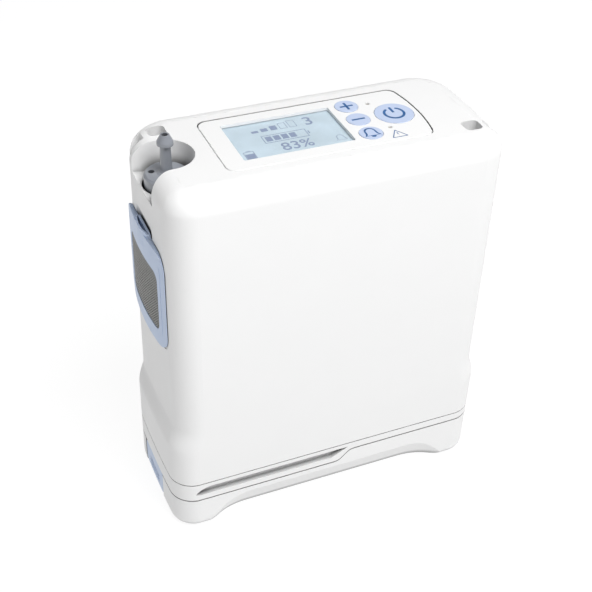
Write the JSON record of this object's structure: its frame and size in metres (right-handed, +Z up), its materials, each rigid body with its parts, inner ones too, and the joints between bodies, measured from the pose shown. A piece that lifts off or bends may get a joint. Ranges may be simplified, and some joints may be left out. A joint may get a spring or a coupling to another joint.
{
  "type": "portable oxygen concentrator",
  "caption": "Upright white portable oxygen concentrator with a control panel in its flat top, barbed outlet nozzle, side intake filter and slide-off battery base.",
  "frame": {"origin": "on the supporting surface, under the middle of the case's bounding box", "axes": "+Z up, +X right along the large front face, +Y from the front face to the back"},
  "size_m": [0.15, 0.068, 0.183],
  "materials": {
    "case_white": "fine satin moulded plastic",
    "battery_white": "fine satin moulded plastic",
    "trim_blue": "satin",
    "button_blue": "satin membrane",
    "panel_white": "semi-gloss overlay",
    "window_clear": "clear",
    "lcd_glass": "backlit grey-blue display",
    "board_green": "solder mask",
    "silicone": "matte",
    "nozzle_grey": "smooth grey plastic",
    "seal_black": "matte",
    "light_amber": "clear tinted",
    "mesh_grey": "woven screen",
    "black_plastic": "matte",
    "grey_plastic": "matte",
    "aluminium": "brushed",
    "steel": "ground",
    "copper_motor": "lacquered can",
    "zeolite": "packed beads",
    "tube_clear": "silicone tube",
    "brass": "turned",
    "cell_wrap": "heat-shrink sleeve",
    "nickel": "nickel strip",
    "gold": "gold-plated contacts"
  },
  "bodies": {
    "housing": {"battery_socket": "gold", "board_components": "black_plastic", "buzzer": "black_plastic", "column_base": "black_plastic", "column_manifold": "black_plastic", "crank_bearings": "steel", "crankcase": "aluminium", "cylinder_1": "aluminium", "cylinder_2": "aluminium", "cylinder_head_1": "aluminium", "cylinder_head_2": "aluminium", "dc_socket": "black_plastic", "display_board": "board_green", "display_window": "window_clear", "exhaust_muffler": "black_plastic", "fan_frame": "black_plastic", "feed_tube": "tube_clear", "housing_screws": "steel", "keypad_mat": "silicone", "lcd_module": "lcd_glass", "lower_housing": "case_white", "main_board": "board_green", "motor_stator": "copper_motor", "nozzle_socket": "brass", "output_filter": "grey_plastic", "oxygen_sensor": "grey_plastic", "panel_overlay": "panel_white", "product_tank": "grey_plastic", "product_tube": "tube_clear", "sieve_bed_1": "zeolite", "sieve_bed_2": "zeolite", "sieve_column_1": "aluminium", "sieve_column_2": "aluminium", "solenoid_valves": "black_plastic", "status_lights": "light_amber", "upper_housing": "case_white", "valve_block": "aluminium", "vibration_mounts": "seal_black"},
    "battery": {"battery_case": "battery_white", "battery_cover": "grey_plastic", "battery_pads": "gold", "battery_cell_1": "cell_wrap", "battery_cell_2": "cell_wrap", "battery_cell_3": "cell_wrap", "battery_cell_4": "cell_wrap", "cell_straps": "nickel", "battery_board": "board_green"},
    "battery_latch": {"battery_latch": "trim_blue"},
    "plus_button": {"plus_button": "button_blue"},
    "minus_button": {"minus_button": "button_blue"},
    "bell_button": {"bell_button": "button_blue"},
    "power_button": {"power_button": "button_blue"},
    "intake_filter": {"filter_frame": "trim_blue", "filter_mesh": "mesh_grey"},
    "nozzle_seal": {"nozzle_seal": "seal_black"},
    "nozzle": {"nozzle_fitting": "nozzle_grey"},
    "crank": {"crank_shaft": "steel", "motor_rotor": "steel"},
    "piston": {"piston_yoke": "aluminium"},
    "fan_rotor": {"fan_rotor": "black_plastic"}
  },
  "joints": [
    {"name": "battery_slide", "type": "slide", "parent": "housing", "child": "battery", "axis": [1, 0, 0], "range_m": [0, 0.155]},
    {"name": "latch_press", "type": "slide", "parent": "battery", "child": "battery_latch", "axis": [0, 0, -1], "range_m": [0, 0.003], "stiffness_N_per_m": 800, "springref_m": -0.002},
    {"name": "plus_press", "type": "slide", "parent": "housing", "child": "plus_button", "axis": [0, 0, -1], "range_m": [0, 0.0006], "stiffness_N_per_m": 2500, "springref_m": -0.0004},
    {"name": "minus_press", "type": "slide", "parent": "housing", "child": "minus_button", "axis": [0, 0, -1], "range_m": [0, 0.0006], "stiffness_N_per_m": 2500, "springref_m": -0.0004},
    {"name": "bell_press", "type": "slide", "parent": "housing", "child": "bell_button", "axis": [0, 0, -1], "range_m": [0, 0.0006], "stiffness_N_per_m": 2500, "springref_m": -0.0004},
    {"name": "power_press", "type": "slide", "parent": "housing", "child": "power_button", "axis": [0, 0, -1], "range_m": [0, 0.0006], "stiffness_N_per_m": 2500, "springref_m": -0.0004},
    {"name": "filter_tilt", "type": "hinge", "parent": "housing", "child": "intake_filter", "pos_m": [-0.0735, 0, 0.0973], "axis": [0, -1, 0], "range_deg": [0, 40]},
    {"name": "nozzle_lift", "type": "slide", "parent": "housing", "child": "nozzle_seal", "axis": [0, 0, 1], "range_m": [0, 0.009]},
    {"name": "nozzle_turn", "type": "hinge", "parent": "nozzle_seal", "child": "nozzle", "pos_m": [-0.062, 0.0008, 0.16], "axis": [0, 0, 1], "range_deg": [0, 2160]},
    {"name": "crank_spin", "type": "hinge", "parent": "housing", "child": "crank", "pos_m": [-0.008, 0, 0.056], "axis": [0, 1, 0], "continuous": true},
    {"name": "piston_stroke", "type": "slide", "parent": "housing", "child": "piston", "axis": [1, 0, 0], "range_m": [-0.0015, 0.0015]},
    {"name": "fan_spin", "type": "hinge", "parent": "housing", "child": "fan_rotor", "pos_m": [-0.061, 0, 0.118], "axis": [1, 0, 0], "continuous": true}
  ],
  "couplings": [
    {"joint": "nozzle_turn", "follows": "nozzle_lift", "rad_per_m": 4188.8}
  ]
}
